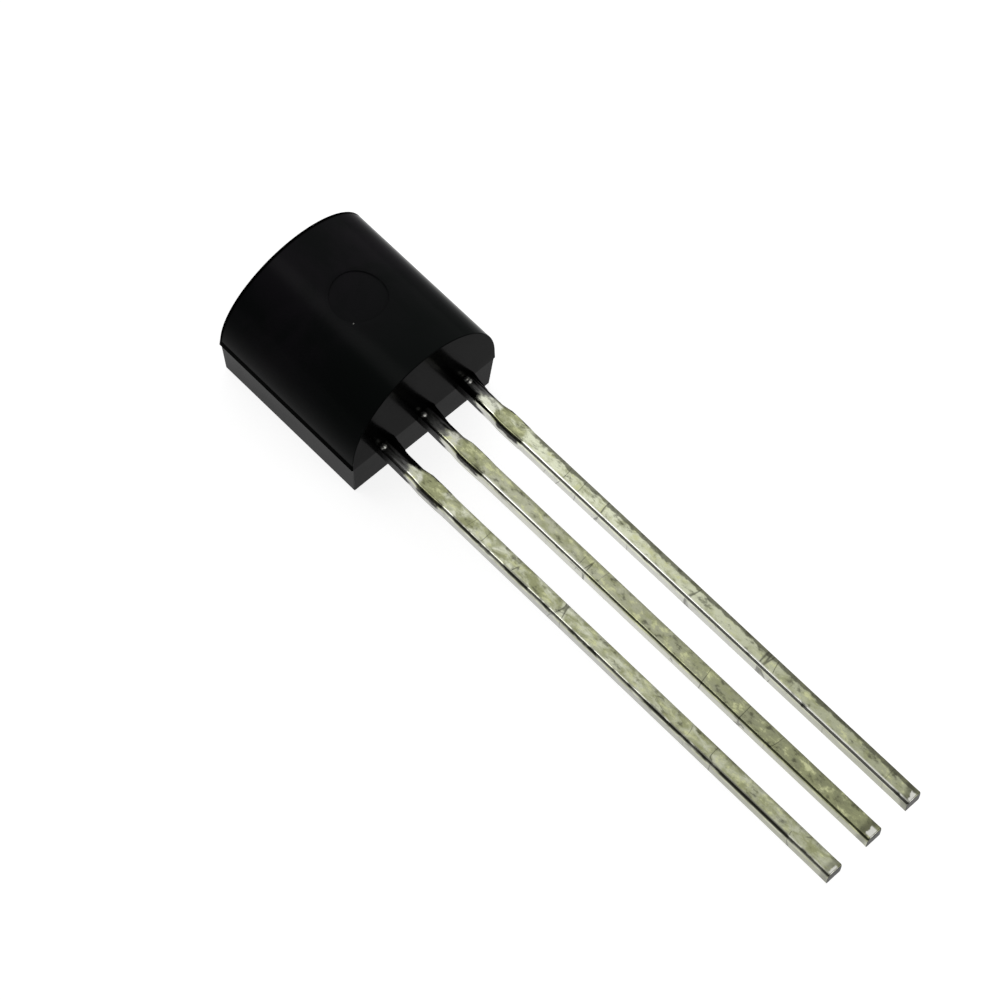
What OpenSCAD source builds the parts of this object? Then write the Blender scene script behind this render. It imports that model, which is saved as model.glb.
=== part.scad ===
// TO-92 transistor: an epoxy body moulded in two drafted halves round a stamped lead frame.
// The part lies on its flat face with the leads along +X. The origin is the centre of the middle
// lead where it leaves the body, on the parting plane. All sizes are in millimetres.

/* [Moulded body] */
// Width of the body at the parting line, across the row of leads
body_w = 4.58; // [4.3:0.02:4.8]
// Height of the body at the parting line, along the leads
body_h = 4.62; // [4.4:0.02:4.9]
// Depth of the flat half, from the parting plane down to the flat face
flat_depth = 1.1; // [1:0.01:1.4]
// Height of the round half's centre line above the parting plane
crown_rise = 0.22; // [0.1:0.02:0.4]
// Draft of the round half's side walls, in degrees
crown_side_draft = 4; // [1:0.5:7]
// Draft of the round half's top end, in degrees
crown_top_draft = 3.5; // [1:0.5:7]
// Draft of the round half's lead end, in degrees
crown_lead_draft = 1; // [0.5:0.5:5]
// Draft of the flat half's side walls, in degrees
flat_side_draft = 4.5; // [2:0.5:7]
// Draft of the flat half's top end, in degrees
flat_top_draft = 2.5; // [1:0.5:7]
// Draft of the flat half's lead end, in degrees
flat_lead_draft = 0.5; // [0.5:0.5:5]
// Step where the flat half sits inside the round half, at its sides and top end
parting_step = 0.03; // [0.01:0.01:0.05]
// The same step at the lead end
lead_end_step = 0.01; // [0.01:0.01:0.05]

/* [Mould marks] */
// Diameter of the ejector pin's mark on the crown
ejector_d = 1.4; // [1.0:0.1:1.8]
// Depth of the ejector pin's mark
ejector_depth = 0.03; // [0.01:0.01:0.06]
// Width of the broken gate on the top end
gate_w = 0.8; // [0.4:0.1:1.5]
// Height of the broken gate, measured down from the parting plane
gate_h = 0.3; // [0.2:0.05:0.5]
// How far the broken gate stands proud
gate_proud = 0.04; // [0.02:0.01:0.08]

/* [Leads] */
// Distance between neighbouring leads, centre to centre
lead_pitch = 1.27; // [1.25:0.01:1.29]
// Length of the leads outside the body
lead_l = 14.5; // [12.7:0.1:15]
// Width of a lead's long shank
lead_w = 0.45; // [0.42:0.01:0.5]
// Thickness of the lead frame
lead_t = 0.39; // [0.36:0.01:0.45]
// Width of a lead's neck beside the body
neck_w = 0.39; // [0.36:0.01:0.41]
// Distance from the body to the dam bar stub
neck_l = 1.36; // [1:0.02:1.6]
// Width of a lead across the sheared dam bar stub
stub_w = 0.48; // [0.46:0.01:0.6]
// Length of the dam bar stub
stub_l = 0.7; // [0.5:0.02:1]
// Length of the flare from the neck out to the stub
flare_l = 0.24; // [0.1:0.02:0.4]
// Radius of the lead's long edges
edge_r = 0.045; // [0.02:0.005:0.08]
// Radius of the edge that the cutting die rolled over at each tip
tip_roll_r = 0.13; // [0.05:0.01:0.2]

/* [Lead frame inside the body] */
// Length of the die paddle on the middle lead
paddle_l = 1.5; // [1.2:0.05:1.6]
// Width of the die paddle
paddle_w = 1.6; // [1.2:0.05:1.7]
// Length of each outer lead's bond post
post_l = 0.9; // [0.6:0.05:1]
// Width of each bond post
post_w = 0.7; // [0.5:0.05:0.75]
// How far each bond post's middle lies outside its lead's centre line
post_offset = 0.13; // [0.1:0.01:0.2]
// Width across the barbs that lock each lead in the epoxy
barb_w = 0.84; // [0.7:0.02:0.9]

/* [Die and bond wires] */
// Side of the square silicon die
die_side = 0.45; // [0.3:0.01:0.6]
// Thickness of the die
die_t = 0.18; // [0.12:0.01:0.25]
// Thickness of the solder layer under the die
attach_t = 0.025; // [0.015:0.005:0.04]
// How far the solder reaches past the die on each side
attach_margin = 0.04; // [0.02:0.01:0.08]
// Diameter of the gold bond wire
wire_d = 0.025; // [0.02:0.001:0.035]
// Height of a wire's loop over the die
loop_h = 0.26; // [0.15:0.01:0.35]

/* [Hidden] */
$fn = 96;
past = 1;                                    // how far a cutter or an envelope runs past the solid

// Round half: the side walls leave the parting line at their draft and run tangent into the crown.
crown_r = (body_w/2 - crown_rise*tan(crown_side_draft)) * cos(crown_side_draft);
crown_top = crown_rise + crown_r;
tangent_y = crown_r*cos(crown_side_draft);
tangent_z = crown_rise + crown_r*sin(crown_side_draft);

// Flat half: its walls start this high inside the round half, so that the two halves are one solid.
flat_root = 0.02;

// Lead frame, along X. Inside the body the frame has square edges up to the start of the neck.
frame_start = -0.3;
paddle_end = -2.1;
post_end = -1.7;
barb_x = -0.75;
barb_base_l = 0.4;
barb_tip_l = 0.2;
paddle_corner_r = 0.15;
post_corner_r = 0.1;
shoulder_l = 0.1;                            // slope from the dam bar stub down to the shank

// The die is on the side of the paddle that faces the flat.
paddle_face = -lead_t/2;
die_x = paddle_end - paddle_l/2;
die_face = paddle_face - attach_t - die_t;
pad_offset = 0.11;                           // each wire's bond pad, from the middle of the die

// Bond wires
wire_sides = 8;
wire_steps = 12;
ball_r = 0.035;
ball_h = 0.02;
stitch_r = 0.05;
stitch_h = 0.018;
stitch_axis = 0.016;                         // height of the wire's axis where its stitch holds it
stitch_inset = 0.2;                          // from the inner edge of the post to the stitch
approach = 0.35;                             // how flat the loop comes down, as a part of loop_h
bond_fn = 12;

// Extrudes a section drawn across the leads (Y, Z) from x0 to x1.
module along_leads(x0, x1)
    translate([x0, 0, 0]) rotate([90, 0, 90]) linear_extrude(x1 - x0) children();

// Extrudes an outline drawn from the side (X, Z) over a width centred on the middle lead.
module across_leads(width)
    rotate([90, 0, 0]) translate([0, 0, -width/2]) linear_extrude(width) children();

// Extrudes an outline drawn from above (X, Y) to the thickness of the lead frame.
module stamped()
    translate([0, 0, -lead_t/2]) linear_extrude(lead_t) children();

// A rectangle with round corners, centred.
module rounded_rectangle(w, h, r) {
    square([w - 2*r, h], center = true);
    square([w, h - 2*r], center = true);
    for (sx = [-1, 1], sy = [-1, 1])
        translate([sx*(w/2 - r), sy*(h/2 - r)]) circle(r);
}

// ---- Moulded body -------------------------------------------------------------------------

// Section of the round half: drafted walls up to the tangent points, then the crown's arc.
module crown_section() {
    polygon([[-body_w/2, 0], [body_w/2, 0], [tangent_y, tangent_z], [-tangent_y, tangent_z]]);
    intersection() {
        translate([0, crown_rise]) circle(crown_r);
        translate([-body_w/2, tangent_z]) square([body_w, body_w]);
    }
}

module crown_half() {
    top = crown_top + past;
    lead_run = top*tan(crown_lead_draft);
    top_run = top*tan(crown_top_draft);
    intersection() {
        along_leads(-body_h - past, past) crown_section();
        across_leads(body_w + 2*past)
            polygon([[0, 0], [-lead_run, top], [-body_h + top_run, top], [-body_h, 0]]);
    }
}

// How far inside the parting line a wall of the flat half stands at a height z.
function flat_inset(step, draft, z) = step - z*tan(draft);

// Four drafted walls down to the flat face, a small step inside the round half.
module flat_half() {
    heights = [flat_root, -flat_depth];
    side = [for (z = heights) body_w/2 - flat_inset(parting_step, flat_side_draft, z)];
    lead_end = [for (z = heights) -flat_inset(lead_end_step, flat_lead_draft, z)];
    top_end = [for (z = heights) flat_inset(parting_step, flat_top_draft, z) - body_h];
    intersection() {
        along_leads(-body_h - past, past)
            polygon([[-side[1], heights[1]], [side[1], heights[1]],
                     [side[0], heights[0]], [-side[0], heights[0]]]);
        across_leads(body_w + 2*past)
            polygon([[lead_end[1], heights[1]], [lead_end[0], heights[0]],
                     [top_end[0], heights[0]], [top_end[1], heights[1]]]);
    }
}

// What is left of the gate on the top end, just under the parting line.
module gate_stub() {
    slope = 0.04;
    rear = -body_h - gate_proud;
    front = -body_h + parting_step + flat_inset(parting_step, flat_top_draft, -gate_h);
    across_leads(gate_w)
        polygon([[front, 0], [rear, -slope], [rear, slope - gate_h], [front, -gate_h]]);
}

// The ejector pin's face follows the crown, so its mark is a shallow disc of even depth.
module ejector_mark() {
    floor_z = crown_top - ejector_d/2;
    difference() {
        translate([-body_h/2, 0, floor_z]) cylinder(d = ejector_d, h = ejector_d);
        along_leads(-body_h, 0) translate([0, crown_rise]) circle(crown_r - ejector_depth);
    }
}

module moulded_body()
    color([0.075, 0.08, 0.08]) difference() {
        union() {
            crown_half();
            flat_half();
            gate_stub();
        }
        ejector_mark();
        emitter_lead();
        collector_lead();
        base_lead();
        silicon_die();
        die_attach();
        emitter_bond_wire();
        base_bond_wire();
    }

// ---- Lead frame ---------------------------------------------------------------------------

// Outline of the stub that the sheared dam bar leaves on a lead: it flares out from the neck
// and steps back to the shank.
module stub_outline() {
    end = neck_l + stub_l;
    polygon([[neck_l - flare_l, -neck_w/2], [neck_l, -stub_w/2],
             [end, -stub_w/2], [end + shoulder_l, -lead_w/2],
             [end + shoulder_l, lead_w/2], [end, stub_w/2],
             [neck_l, stub_w/2], [neck_l - flare_l, neck_w/2]]);
}

// One lead from just inside the body to its tip, with rolled long edges and a sheared end.
module shank() {
    difference() {
        union() {
            along_leads(frame_start, neck_l) rounded_rectangle(neck_w, lead_t, edge_r);
            stamped() stub_outline();
            along_leads(neck_l + stub_l, lead_l) rounded_rectangle(lead_w, lead_t, edge_r);
        }
        across_leads(stub_w + past)
            translate([lead_l - tip_roll_r, lead_t/2 - tip_roll_r]) difference() {
                square(tip_roll_r + past);
                circle(tip_roll_r);
            }
    }
}

// Barbs on both edges of a lead that stop it from being pulled out of the epoxy.
module barbs()
    polygon([[barb_x - barb_base_l/2, 0], [barb_x - barb_tip_l/2, -barb_w/2],
             [barb_x + barb_tip_l/2, -barb_w/2], [barb_x + barb_base_l/2, 0],
             [barb_x + barb_tip_l/2, barb_w/2], [barb_x - barb_tip_l/2, barb_w/2]]);

// An outer lead: side is +1 or -1, the way its bond post leans from the middle lead.
module outer_lead(side) {
    post_x = post_end - post_l/2;
    translate([0, side*lead_pitch, 0]) {
        shank();
        stamped() {
            translate([post_x, side*post_offset])
                rounded_rectangle(post_l, post_w, post_corner_r);
            translate([post_x, -neck_w/2]) square([frame_start - post_x, neck_w]);
            barbs();
        }
    }
}

module emitter_lead()
    color([0.74, 0.73, 0.66]) outer_lead(1);

module base_lead()
    color([0.74, 0.73, 0.66]) outer_lead(-1);

// The middle lead, which carries the paddle under the die.
module collector_lead()
    color([0.74, 0.73, 0.66]) {
        shank();
        stamped() {
            translate([die_x, 0]) rounded_rectangle(paddle_l, paddle_w, paddle_corner_r);
            translate([die_x, -neck_w/2]) square([frame_start - die_x, neck_w]);
            barbs();
        }
    }

// ---- Die ----------------------------------------------------------------------------------

module die_attach()
    color([0.55, 0.56, 0.58])
        translate([die_x, 0, paddle_face - attach_t]) linear_extrude(attach_t)
            rounded_rectangle(die_side + 2*attach_margin, die_side + 2*attach_margin,
                              attach_margin);

module silicon_die()
    color([0.25, 0.26, 0.30])
        translate([die_x - die_side/2, -die_side/2, die_face]) cube([die_side, die_side, die_t]);

// ---- Bond wires ---------------------------------------------------------------------------

function unit(v) = v/norm(v);

// A point of the cubic curve through four control points, t from 0 to 1.
function curve(p, t) =
    pow(1 - t, 3)*p[0] + 3*t*pow(1 - t, 2)*p[1] + 3*t*t*(1 - t)*p[2] + pow(t, 3)*p[3];

// Rings of a round wire along a path that lies in the plane with the given normal. Each ring is
// mitred between the two straights that it joins, so every facet of the wire is flat.
function wire_rings(path, normal) = [
    for (i = [0 : len(path) - 1])
        let (before = unit(path[max(i, 1)] - path[max(i, 1) - 1]),
             after = unit(path[min(i, len(path) - 2) + 1] - path[min(i, len(path) - 2)]),
             across = unit(cross(unit(before + after), normal)),
             stretch = 1/norm(cross(across, after)))
        [for (k = [0 : wire_sides - 1])
            let (a = 360*(k + 0.5)/wire_sides)
            path[i] + wire_d/2*(cos(a)*normal + sin(a)*stretch*across)]];

module swept_wire(path, normal) {
    rings = wire_rings(path, normal);
    n = wire_sides;
    last = len(path) - 1;
    polyhedron(
        points = [for (r = rings) each r],
        faces = concat(
            [[for (k = [0 : n - 1]) k]],
            [for (i = [0 : last - 1], k = [0 : n - 1])
                [i*n + k, (i + 1)*n + k, (i + 1)*n + (k + 1) % n, i*n + (k + 1) % n]],
            [[for (k = [n - 1 : -1 : 0]) last*n + k]]));
}

// A wire from its ball on the die, over a loop, to its stitch on a bond post. side is +1 or -1.
module bond_wire(side) {
    post_x = post_end - post_l/2;
    post_y = side*(lead_pitch + post_offset - post_w/2 + stitch_inset);
    ball = [die_x + pad_offset, side*pad_offset, die_face];
    stitch = [post_x, post_y, paddle_face];
    start = ball - [0, 0, ball_h/2];
    end = stitch - [0, 0, stitch_axis];
    back = (start - end)/2;
    control = [start, start - [0, 0, 4/3*loop_h],
               end + [back.x, back.y, -approach*loop_h], end];
    normal = unit(cross([0, 0, 1], [end.x - start.x, end.y - start.y, 0]));
    swept_wire([for (i = [0 : wire_steps]) curve(control, i/wire_steps)], normal);
    translate(ball - [0, 0, ball_h]) cylinder(r = ball_r, h = ball_h, $fn = bond_fn);
    translate(stitch - [0, 0, stitch_h]) cylinder(r = stitch_r, h = stitch_h, $fn = bond_fn);
}

module emitter_bond_wire()
    color([0.95, 0.75, 0.30]) bond_wire(1);

module base_bond_wire()
    color([0.95, 0.75, 0.30]) bond_wire(-1);

moulded_body();
emitter_lead();
collector_lead();
base_lead();
silicon_die();
die_attach();
emitter_bond_wire();
base_bond_wire();
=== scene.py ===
"""Looks of a TO-92 transistor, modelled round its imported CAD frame.

The scene holds the moulded epoxy body, its three stamped and tinned leads, and the die, solder
and bond wires sealed inside. Everything is in metres, in the frame of the CAD model: +X runs out
along the leads, +Y points to the emitter lead and +Z out of the round side.
"""

import functools
import logging
import math
from contextlib import contextmanager
from dataclasses import dataclass
from enum import Enum
from typing import Callable, Iterator, Optional, Sequence

import bmesh
import bpy
from mathutils import Matrix, Vector


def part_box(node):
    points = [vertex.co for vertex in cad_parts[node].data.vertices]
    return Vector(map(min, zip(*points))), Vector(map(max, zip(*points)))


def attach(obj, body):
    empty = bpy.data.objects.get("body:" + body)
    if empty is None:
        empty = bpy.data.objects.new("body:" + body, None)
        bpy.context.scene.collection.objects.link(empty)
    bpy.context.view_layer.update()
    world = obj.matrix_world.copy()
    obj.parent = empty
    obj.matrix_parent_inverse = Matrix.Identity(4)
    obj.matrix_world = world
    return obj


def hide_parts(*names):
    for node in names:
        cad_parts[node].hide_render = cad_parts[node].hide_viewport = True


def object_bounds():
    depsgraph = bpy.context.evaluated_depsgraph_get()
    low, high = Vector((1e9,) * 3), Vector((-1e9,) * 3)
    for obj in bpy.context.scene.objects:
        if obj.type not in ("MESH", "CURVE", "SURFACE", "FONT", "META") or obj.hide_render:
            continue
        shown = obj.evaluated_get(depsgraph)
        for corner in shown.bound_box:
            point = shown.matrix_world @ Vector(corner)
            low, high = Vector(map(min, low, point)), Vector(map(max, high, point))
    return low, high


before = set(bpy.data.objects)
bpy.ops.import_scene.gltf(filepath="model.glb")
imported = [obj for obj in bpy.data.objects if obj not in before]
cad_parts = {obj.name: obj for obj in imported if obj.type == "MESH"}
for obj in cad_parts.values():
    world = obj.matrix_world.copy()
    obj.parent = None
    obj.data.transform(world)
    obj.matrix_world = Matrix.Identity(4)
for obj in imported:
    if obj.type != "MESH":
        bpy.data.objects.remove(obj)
cad_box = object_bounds()

log = logging.getLogger("to92")
MM = 0.001
SHARP = 1e-9                     # how close two points count as one, well under any feature
ON_PLANE = 10 * SHARP            # how close to a plane a point counts as on it
NEAR = 1e-3 * MM                 # the same where earlier steps may have moved it slightly
MERGE = 0.1 * NEAR               # how close a copied piece's loose corners are merged
FOLLOWS = 0.9                    # least part of a unit vector along an axis that it follows
CROSSES = 0.1                    # and the most along one that it crosses
Rgb = tuple[float, float, float]
Point = tuple[float, float, float]
Station = tuple[float, float, float]             # a lead's x, half width and centre y
Stops = tuple[float, ...]        # a ramp's low and high, and its results there if not 0 and 1
Obj = bpy.types.Object
Socket = bpy.types.NodeSocket


# ---- Modelling bench ------------------------------------------------------------------------


def deselect_all() -> None:
    """Leaves nothing selected and nothing active."""
    if bpy.context.object and bpy.context.object.mode != "OBJECT":
        bpy.ops.object.mode_set(mode="OBJECT")
    bpy.ops.object.select_all(action="DESELECT")
    bpy.context.view_layer.objects.active = None


def take_up(obj: Obj) -> None:
    """Makes an object the only one selected, and active.

    Args:
        obj: The object to work on.
    """
    deselect_all()
    obj.select_set(True)
    bpy.context.view_layer.objects.active = obj


@contextmanager
def edit_mode() -> Iterator[None]:
    """Keeps the active object in edit mode while a block runs.

    Returns:
        The context to run the block in.
    """
    bpy.ops.object.mode_set(mode="EDIT")
    yield
    bpy.ops.object.mode_set(mode="OBJECT")


def placed(name: str) -> Obj:
    """Names the primitive just added and puts its place, turn and scale into its mesh.

    Args:
        name: The piece's name.

    Returns:
        The new object, selected and active, at the origin.
    """
    obj = bpy.context.object
    obj.name = obj.data.name = name
    bpy.ops.object.transform_apply(location=True, rotation=True, scale=True)
    return obj


def add_block(name: str, low: Point, high: Point) -> Obj:
    """Adds a block between two corners, given in metres.

    Args:
        name: The block's name.
        low: Its lowest corner.
        high: Its highest corner.

    Returns:
        The block, selected and active.
    """
    deselect_all()
    centre = [(a + b) / 2 for a, b in zip(low, high)]
    size = [b - a for a, b in zip(low, high)]
    bpy.ops.mesh.primitive_cube_add(size=1, location=centre, scale=size)
    return placed(name)


def apply_modifier(obj: Obj, kind: str, **settings: object) -> None:
    """Adds a modifier to the active object and applies it.

    Args:
        obj: The active object.
        kind: The modifier's type.
        **settings: Its settings, by attribute.
    """
    bpy.ops.object.modifier_add(type=kind)
    step = obj.modifiers[-1]
    for key, value in settings.items():
        setattr(step, key, value)
    bpy.ops.object.modifier_apply(modifier=step.name)


class Element(Enum):
    """What a mesh is picked by."""

    FACE = "faces"
    EDGE = "edges"
    VERT = "verts"


def measures(element: object, kind: Element) -> tuple[Vector, ...]:
    """Gives what an element of a mesh is tested by.

    Args:
        element: The face, edge or vertex.
        kind: Which of them it is.

    Returns:
        A face's centre and normal, an edge's middle and unit direction, or a vertex's place.
    """
    if kind is Element.FACE:
        return element.calc_center_median(), element.normal
    if kind is Element.EDGE:
        a, b = (vert.co for vert in element.verts)
        return (a + b) / 2, (b - a).normalized()
    return (element.co,)


def pick(obj: Obj, kind: Element, test: Callable[..., bool]) -> None:
    """Selects, in edit mode, only the elements that pass a test.

    Args:
        obj: The object in edit mode.
        kind: Which elements to go through.
        test: Takes what measures() gives for each.
    """
    bpy.ops.mesh.select_all(action="DESELECT")
    bpy.ops.mesh.select_mode(type=kind.name)
    mesh = bmesh.from_edit_mesh(obj.data)
    mesh.normal_update()
    for element in getattr(mesh, kind.value):
        element.select_set(test(*measures(element, kind)))
    mesh.select_flush_mode()
    bmesh.update_edit_mesh(obj.data)


def extrude(shift: Point) -> None:
    """Extrudes what is selected.

    Args:
        shift: How far and which way, in metres.
    """
    bpy.ops.mesh.extrude_region_move(TRANSFORM_OT_translate={"value": shift})


def cut_off(point: Point, outward: Point) -> None:
    """Cuts the closed mesh in edit mode by a plane, drops its outer part and closes the cut.

    Args:
        point: A point of the plane.
        outward: The plane's normal, towards what is dropped.
    """
    bpy.ops.mesh.select_all(action="SELECT")
    bpy.ops.mesh.bisect(plane_co=point, plane_no=outward, use_fill=True, clear_outer=True,
                        threshold=SHARP)


def bevel(radius: float, segments: int) -> None:
    """Rounds the selected edges.

    Args:
        radius: The round's radius, in metres.
        segments: The number of facets across it.
    """
    bpy.ops.mesh.bevel(offset=radius, offset_type="OFFSET", segments=segments, affect="EDGES")


def roughen(amount: float, seed: int) -> None:
    """Shifts each selected vertex a little, at random.

    Args:
        amount: How far, in metres.
        seed: The seed of the random draws.
    """
    bpy.ops.transform.vertex_random(offset=amount, uniform=0.0, normal=0.0, seed=seed)


def face_outwards() -> None:
    """Turns every normal of the mesh in edit mode outwards."""
    bpy.ops.mesh.select_all(action="SELECT")
    bpy.ops.mesh.normals_make_consistent(inside=False)


class Joining(Enum):
    """How one solid is joined with another."""

    ADD = "UNION"
    CUT = "DIFFERENCE"


def combine(obj: Obj, tool: Obj, how: Joining) -> None:
    """Adds a solid to another or cuts it away, and removes the tool.

    Args:
        obj: The solid that is changed.
        tool: The solid that is added or cut away.
        how: Which of the two.
    """
    take_up(obj)
    apply_modifier(obj, "BOOLEAN", operation=how.value, solver="EXACT", object=tool)
    take_up(tool)
    bpy.ops.object.delete()


def copy_of(source: Obj, name: str) -> Obj:
    """Copies a piece with a mesh of its own, its loose corners merged.

    Args:
        source: The piece to copy.
        name: The copy's name.

    Returns:
        The copy, at the scene's root.
    """
    twin = source.copy()
    twin.data = source.data.copy()
    twin.parent = None
    twin.name = twin.data.name = name
    for key in list(twin.keys()):
        del twin[key]
    bpy.context.scene.collection.objects.link(twin)
    take_up(twin)
    with edit_mode():
        bpy.ops.mesh.select_all(action="SELECT")
        bpy.ops.mesh.remove_doubles(threshold=MERGE)
    return twin


def rescale(obj: Obj, factor: float) -> None:
    """Scales an object about the origin and puts the scale into its mesh.

    Args:
        obj: The object, selected and active.
        factor: The scale.
    """
    obj.scale = (factor,) * 3
    bpy.ops.object.transform_apply(location=False, rotation=False, scale=True)


def smooth(obj: Obj, angle_deg: float) -> None:
    """Shades a piece smooth where its faces meet at less than an angle, large faces kept flat.

    Face areas weigh the normals, and in square metres they are too small to be told apart, so
    the mesh is taken to millimetres for this and back.

    Args:
        obj: The piece.
        angle_deg: The angle, in degrees.
    """
    take_up(obj)
    rescale(obj, 1 / MM)
    bpy.ops.object.shade_smooth_by_angle(angle=math.radians(angle_deg))
    apply_modifier(obj, "WEIGHTED_NORMAL", mode="FACE_AREA", keep_sharp=True, thresh=0.0)
    rescale(obj, MM)


# ---- Shader bench ---------------------------------------------------------------------------


def moved(stops: Stops, by: float) -> Stops:
    """Moves a ramp's low and high.

    Args:
        stops: The ramp.
        by: How far.

    Returns:
        The moved ramp, with the same results.
    """
    low, high, *results = stops
    return (low + by, high + by, *results)


class Shade:
    """A node tree under construction, with a short way to add each kind of node."""

    def __init__(self, tree: bpy.types.NodeTree) -> None:
        """Takes the tree to add to."""
        self.tree = tree

    def node(self, kind: str, **values: object) -> bpy.types.Node:
        """Adds a node and sets its properties and inputs.

        Args:
            kind: The node's type.
            **values: Properties, or inputs with spaces written as underscores.

        Returns:
            The node.
        """
        made = self.tree.nodes.new(kind)
        for key, value in values.items():
            if hasattr(made, key):
                setattr(made, key, value)
            else:
                self.fill(made, **{key: value})
        return made

    def fill(self, node: bpy.types.Node, **values: object) -> bpy.types.Node:
        """Links or sets a node's inputs by name.

        Args:
            node: The node.
            **values: Its inputs, with spaces written as underscores.

        Returns:
            The node.
        """
        for key, value in values.items():
            self.feed(node.inputs[key.replace("_", " ")], value)
        return node

    def feed(self, socket: Socket, value: object) -> None:
        """Links a socket to another, or sets its value.

        Args:
            socket: The input.
            value: An output socket, a number or a colour.
        """
        if isinstance(value, Socket):
            self.tree.links.new(value, socket)
        elif socket.type == "RGBA" and len(value) == 3:
            socket.default_value = (*value, 1.0)
        else:
            socket.default_value = value

    def math(self, operation: str, *terms: object) -> Socket:
        """Adds a Math node.

        Args:
            operation: The operation's name.
            *terms: Up to three numbers or sockets.

        Returns:
            Its output.
        """
        made = self.node("ShaderNodeMath", operation=operation)
        for socket, term in zip(made.inputs, terms):
            self.feed(socket, term)
        return made.outputs[0]

    def product(self, *terms: object) -> Socket:
        """Multiplies numbers or sockets."""
        return functools.reduce(lambda a, b: self.math("MULTIPLY", a, b), terms)

    def highest(self, *terms: object) -> Socket:
        """Takes the highest of numbers or sockets."""
        return functools.reduce(lambda a, b: self.math("MAXIMUM", a, b), terms)

    def scaled(self, value: Socket, factor: object, base: object) -> Socket:
        """Multiplies a value by a factor and adds a base."""
        return self.math("MULTIPLY_ADD", value, factor, base)

    def ramp(self, value: Socket, low: float, high: float,
             start: float = 0.0, end: float = 1.0) -> Socket:
        """Maps low..high to start..end with a soft S curve, clamped.

        Args:
            value: The socket to map.
            low: The value that gives start.
            high: The value that gives end.
            start: The result at low and before.
            end: The result at high and past it.

        Returns:
            The mapped value.
        """
        made = self.node("ShaderNodeMapRange", interpolation_type="SMOOTHSTEP")
        for socket, term in zip(made.inputs, (value, low, high, start, end)):
            self.feed(socket, term)
        return made.outputs[0]

    def band(self, value: Socket, low: float, high: float, edge: float) -> Socket:
        """Gives 1 between low and high and 0 outside, with soft edges.

        Args:
            value: The socket to test.
            low: Where the band starts.
            high: Where it ends.
            edge: The width of its soft edges.

        Returns:
            The mask.
        """
        return self.product(self.ramp(value, low - edge, low),
                            self.ramp(value, high, high + edge, 1.0, 0.0))

    def blend(self, mask: object, first: object, second: object) -> Socket:
        """Mixes two colours by a mask.

        Args:
            mask: 0 for the first colour, 1 for the second.
            first: A colour or socket.
            second: A colour or socket.

        Returns:
            The mixed colour.
        """
        made = self.node("ShaderNodeMix", data_type="RGBA")
        for index, value in ((0, mask), (6, first), (7, second)):
            self.feed(made.inputs[index], value)
        return made.outputs[2]

    def noise(self, vector: Socket, scale: object, detail: float = 2.0,
              roughness: float = 0.5, distortion: float = 0.0) -> Socket:
        """Adds a noise texture.

        Args:
            vector: Its coordinates.
            scale: Its scale.
            detail: Its number of octaves.
            roughness: How strong the finer octaves are.
            distortion: How much it is warped.

        Returns:
            Its value, 0 to 1.
        """
        return self.node("ShaderNodeTexNoise", Vector=vector, Scale=scale, Detail=detail,
                         Roughness=roughness, Distortion=distortion).outputs[0]

    def bump(self, height: Socket, distance: float, **below: Socket) -> Socket:
        """Adds a bump.

        Args:
            height: Its height, 0 to 1.
            distance: What a height of 1 stands for, in metres.
            **below: Normal, the normal of a bump that this one lies on.

        Returns:
            The bumped normal.
        """
        return self.node("ShaderNodeBump", Height=height, Distance=distance, Strength=1.0,
                         **below).outputs[0]

    def group(self, tree: bpy.types.NodeTree, **values: object) -> bpy.types.Node:
        """Places a node group.

        Args:
            tree: The group.
            **values: Its inputs, with spaces written as underscores.

        Returns:
            The group's node.
        """
        return self.node("ShaderNodeGroup", node_tree=tree, **values)

    def place_mm(self, turn: Point = (0, 0, 0), stretch: Point = (1, 1, 1),
                 shift: Point = (0, 0, 0)) -> Socket:
        """Gives the object's coordinates in millimetres, turned, stretched and shifted.

        Args:
            turn: Turns about X, Y and Z, in degrees.
            stretch: Factors along X, Y and Z.
            shift: A shift in millimetres.

        Returns:
            The coordinates.
        """
        place = self.node("ShaderNodeTexCoord").outputs["Object"]
        return self.node("ShaderNodeMapping", Vector=place, Location=shift,
                         Rotation=[math.radians(a) for a in turn],
                         Scale=[s / MM for s in stretch]).outputs[0]


class Places:
    """A piece's coordinates in millimetres, whole and by axis, for its finish's masks."""

    def __init__(self, shade: Shade, shift: Point = (0, 0, 0)) -> None:
        """Adds the coordinates to a tree.

        Args:
            shade: The material's tree.
            shift: A shift in millimetres.
        """
        self.shade = shade
        self.whole = shade.place_mm(shift=shift)
        cut = shade.node("ShaderNodeSeparateXYZ", Vector=self.whole)
        self.x, self.y, self.z = (cut.outputs[axis] for axis in "XYZ")

    def off_axis(self, x: float, y: float) -> Socket:
        """Gives the distance from an upright axis.

        Args:
            x: Where the axis stands, in millimetres.
            y: The same, across.

        Returns:
            The distance in millimetres.
        """
        shade = self.shade
        off_x, off_y = (shade.math("SUBTRACT", place, axis)
                        for place, axis in ((self.x, x), (self.y, y)))
        return shade.math("SQRT", shade.scaled(off_x, off_x, shade.product(off_y, off_y)))


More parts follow.
